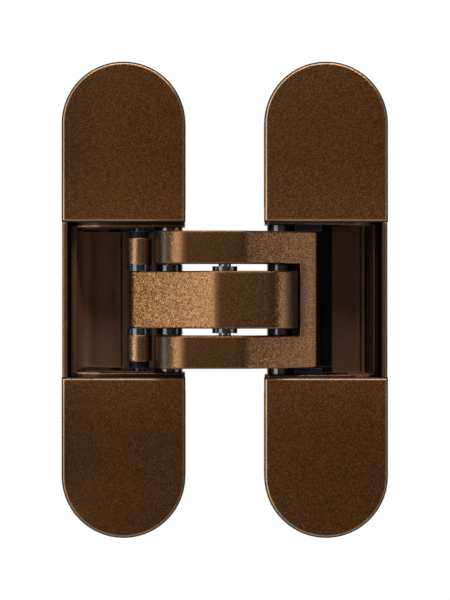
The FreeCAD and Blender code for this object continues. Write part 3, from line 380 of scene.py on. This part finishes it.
def pocket_lacquer(name, tint, first, stretches, end_wall_from=None):
    """Dull paint deep in a pocket, whose colour carries painted light and shade: a first colour,
    then stretches of x and the next colour.

    Beyond the height end_wall_from the paint is darker still with painted shade, below a pale line
    in the corner that is a painted highlight.
    """
    paint = Lacquer(name, tint)
    ramp = paint.nodes.ramp
    blend = paint.nodes.blend
    paint.scuff_and_highlight_borders()
    deep = ramp(paint.y, -11.5e-3, -11.1e-3)
    pocket_light_shade_and_scuffs = first
    # Painted light and shade: the colour changes in steps along x to stand in for the pocket's
    # light and shade.
    for x_from, x_to, colour in stretches:
        pocket_light_shade_and_scuffs = blend(ramp(paint.x, x_from, x_to), pocket_light_shade_and_scuffs, colour)
    pocket_light_shade_and_scuffs = paint.nodes.dim(pocket_light_shade_and_scuffs, paint.speck * 0.5 + 0.8)
    pocket_light_shade_and_scuffs = blend(paint.scuffed_and_highlit * 0.4, pocket_light_shade_and_scuffs, (0.3, 0.2, 0.13, 1))
    if end_wall_from:
        # Painted highlight: a pale line where the floor meets the end wall.
        corner = ramp(paint.high, 13.8e-3, 13.95e-3) * ramp(paint.y, 6e-3, 7e-3)
        pocket_light_shade_and_scuffs = blend(corner * 0.8, pocket_light_shade_and_scuffs, (0.75, 0.66, 0.58, 1))
    paint.lay(deep, pocket_light_shade_and_scuffs)
    paint.metal = deep * -0.75 + 0.95
    paint.coat = deep * -0.3 + 0.33
    paint.rough = deep * 0.18 + paint.rough
    if end_wall_from:
        # Painted shade on the end wall.
        painted_wall_shade = ramp(paint.high, end_wall_from, end_wall_from + 0.15e-3)
        painted_wall_shade = painted_wall_shade * ramp(paint.y, 7e-3, 6e-3)
        paint.lay(painted_wall_shade * 0.95, (0.02, 0.009, 0.004, 1))
        paint.coat = paint.coat * (1 - painted_wall_shade)
    return paint.finish()


# Left pocket: a darker copy of the lacquer as painted shade at the front, painted light on the
# floor beside the left wall, painted shade towards the middle.
paint_node("frame_carriage", pocket_lacquer(
    "frame_carriage_paint", (0.10, 0.038, 0.012), (0.22, 0.12, 0.06, 1),
    ((-9.6e-3, -9.2e-3, (0.60, 0.33, 0.18, 1)),
     (-8.2e-3, -7.2e-3, (0.32, 0.17, 0.088, 1)),
     (-3.6e-3, 0.2e-3, (0.075, 0.045, 0.024, 1))), 14.8e-3))
# Right pocket: a darker copy of the lacquer, painted shade by the slot, a lighter floor beyond, and
# painted shade in the far groove.
paint_node("door_carriage", pocket_lacquer(
    "door_carriage_paint", (0.10, 0.038, 0.012), (0.01, 0.006, 0.004, 1),
    ((38e-3, 39e-3, (0.18, 0.082, 0.036, 1)),
     (49.0e-3, 49.4e-3, (0.014, 0.009, 0.006, 1)))))
# Liners: a darker copy of the lacquer, with painted shade towards the middle.
liner_paint = pocket_lacquer(
    "liner_paint", (0.06, 0.026, 0.010), (0.02, 0.01, 0.005, 1),
    ((-4.0e-3, 2.0e-3, (0.03, 0.014, 0.007, 1)),), 13.9e-3)
for name in ("frame_guide_top", "frame_guide_bottom"):
    paint_node(name, liner_paint)

# Sleeves
# Two turned bronze rollers on the inner arm's slide pin. They run in the left pocket's slots and
# are bright from it.

sleeve_paint = Lacquer("sleeve_paint", (0.22, 0.11, 0.045), 0.5, 0.2)
sleeve_paint.scuff_and_highlight_borders()
sleeve_bronze = sleeve_paint.finish()
for name in ("inner_sleeve_top", "inner_sleeve_bottom"):
    paint_node(name, sleeve_bronze)

# Bushes and washers
# Moulded black acetal, pressed into the hubs and slipped over the pins. It is smooth, and lighter
# along its edges: scuffed, and with a painted highlight.


def black_plastic(name, shine, coat, specular, edge):
    """Black plastic with a haze of fine scuffs; edge is its colour along the edges: scuffed, and a
    painted highlight.
    """
    material = bpy.data.materials.new(name)
    nodes = empty_tree(material)
    where = nodes.place()[0]
    haze = nodes.noise(where, 900.0, 4.0)
    rounded, bevel_mask = nodes.edges(0.12e-3)
    colour = nodes.blend(haze, (0.001, 0.0013, 0.002, 1), (0.004, 0.005, 0.009, 1))
    scuffs = nodes.add("ShaderNodeBump", None, {
        "Strength": 0.15, "Distance": 0.01e-3, "Height": haze, "Normal": rounded})
    shader = nodes.add("ShaderNodeBsdfPrincipled", None, {
        "Base Color": nodes.blend(bevel_mask, colour, edge), "Roughness": haze * 0.2 + shine,
        "Normal": scuffs, "Specular Tint": (0.72, 0.84, 1.0, 1), "Specular IOR Level": specular,
        "Coat Weight": coat, "Coat Roughness": 0.12})
    nodes.add("ShaderNodeOutputMaterial", None, [shader])
    return material


shiny_black = black_plastic("shiny_black", 0.16, 1.0, 0.8, (0.02, 0.024, 0.034, 1))
for name in ("frame_pivot_spacer", "door_spacer_top", "door_spacer_bottom", "fork_bush_top",
             "fork_bush_bottom", "centre_bush_top", "centre_bush_bottom", "inner_bush",
             "inner_washer_top", "inner_washer_bottom"):
    paint_node(name, shiny_black)

# Door guide and outer spacers
# The black moulded tray in the right pocket, in which the fork's slide pins run, and the spacers
# at the ends of the inner arm's slide pin. Both are dull from the mould.

# Its paler edges are scuffs and a painted highlight.
dull_black = black_plastic("dull_black", 0.4, 0.0, 0.15, (0.10, 0.09, 0.08, 1))
for name in ("door_guide", "inner_spacer_top", "inner_spacer_bottom"):
    paint_node(name, dull_black)

# Pins and screws
# Ground steel rod with faint rings from the lathe, pressed or screwed into the castings. The pins
# that slide in the slots are blackened.


def turned_steel(name, dark, light):
    """Steel with faint rings round its axis, between two shades."""
    material = bpy.data.materials.new(name)
    nodes = empty_tree(material)
    where = nodes.place()[0]
    rings = nodes.add("ShaderNodeTexWave", {"bands_direction": "Z"},
                      {"Vector": where, "Scale": 2500.0, "Distortion": 2.0, "Detail": 2.0})["Fac"]
    shader = nodes.add("ShaderNodeBsdfPrincipled", None, {
        "Base Color": nodes.blend(rings, dark, light), "Metallic": 1.0,
        "Roughness": rings * 0.1 + 0.22})
    nodes.add("ShaderNodeOutputMaterial", None, [shader])
    return material


steel = turned_steel("pin_steel", (0.16, 0.15, 0.14, 1), (0.26, 0.25, 0.24, 1))
for name in ("frame_pivot_pin", "door_pivot_pin", "centre_pin", "frame_clamp_screw_top",
             "frame_clamp_screw_bottom", "door_clamp_screw_top", "door_clamp_screw_bottom"):
    paint_node(name, steel)

black_steel = turned_steel("black_steel", (0.02, 0.019, 0.018, 1), (0.04, 0.037, 0.034, 1))
for name in ("inner_slide_pin", "fork_slide_pin_top", "fork_slide_pin_bottom"):
    paint_node(name, black_steel)
